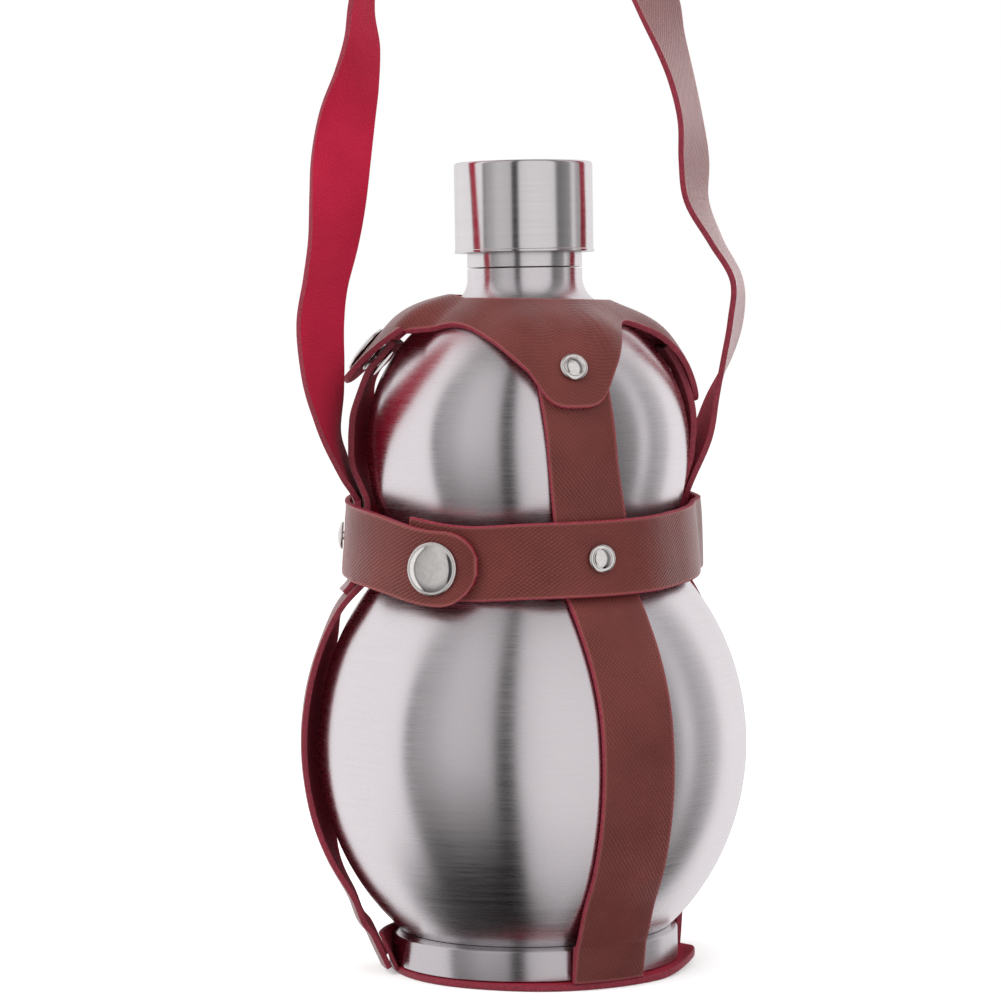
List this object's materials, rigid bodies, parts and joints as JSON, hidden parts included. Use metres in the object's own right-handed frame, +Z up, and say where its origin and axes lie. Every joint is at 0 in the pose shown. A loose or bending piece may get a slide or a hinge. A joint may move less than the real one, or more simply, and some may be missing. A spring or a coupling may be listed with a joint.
{
  "type": "water bottle",
  "caption": "Double-bulb stainless steel bottle with a screw cap, in a brown leather harness with a belt, a crown and a shoulder strap.",
  "frame": {"origin": "on the bottle's axis, at the underside of the leather base disc", "axes": "+Z up along the bottle's axis; -Y is the front, towards the picture's camera"},
  "size_m": [0.1324, 0.1259, 0.3192],
  "materials": {
    "brushed_steel": "brushed",
    "polished_nickel": "polished",
    "brown_leather": "embossed grain",
    "red_leather": "suede",
    "white_plastic": "matte",
    "silicone": "matte"
  },
  "bodies": {
    "flask": {"lower_bulb": "brushed_steel", "upper_bulb": "brushed_steel", "neck_ring": "brushed_steel", "foot_ring": "brushed_steel", "crown_rivet_front": "polished_nickel", "crown_rivet_right": "polished_nickel", "crown_rivet_back": "polished_nickel", "belt_rivet_front": "polished_nickel", "belt_rivet_right": "polished_nickel", "belt_rivet_back": "polished_nickel", "belt_rivet_left": "polished_nickel", "belt_snap_stud": "polished_nickel", "belt_snap_back": "polished_nickel", "crown_snap_stud": "polished_nickel", "crown_snap_back": "polished_nickel", "strap_front": "brown_leather", "strap_right": "brown_leather", "strap_back": "brown_leather", "strap_left": "brown_leather", "belt_band": "brown_leather", "crown_collar": "brown_leather", "shoulder_strap": "brown_leather", "base_disc": "red_leather"},
    "seal_carrier": {"cap_seal": "silicone"},
    "cap": {"cap_shell": "brushed_steel", "cap_liner": "white_plastic"},
    "belt_closure": {"belt_flap": "brown_leather", "belt_snap_cap": "polished_nickel", "belt_snap_socket": "polished_nickel"},
    "crown_closure": {"crown_flap": "brown_leather", "crown_snap_cap": "polished_nickel", "crown_snap_socket": "polished_nickel"}
  },
  "joints": [
    {"name": "cap_rise", "type": "slide", "parent": "flask", "child": "seal_carrier", "axis": [0, 0, 1], "range_m": [0, 0.017]},
    {"name": "cap_turn", "type": "hinge", "parent": "seal_carrier", "child": "cap", "pos_m": [0, 0, 0.22], "axis": [0, 0, 1], "range_deg": [0, 1530]},
    {"name": "belt_open", "type": "hinge", "parent": "flask", "child": "belt_closure", "pos_m": [-0.05296, -0.00953, 0.12557], "axis": [0, 0, -1], "range_deg": [0, 110]},
    {"name": "crown_open", "type": "hinge", "parent": "flask", "child": "crown_closure", "pos_m": [-0.04062, 0.00355, 0.18647], "axis": [0.0872, 0.9962, 0], "range_deg": [0, 110]}
  ],
  "couplings": [
    {"joint": "cap_rise", "follows": "cap_turn", "m_per_rad": 0.00063662}
  ]
}
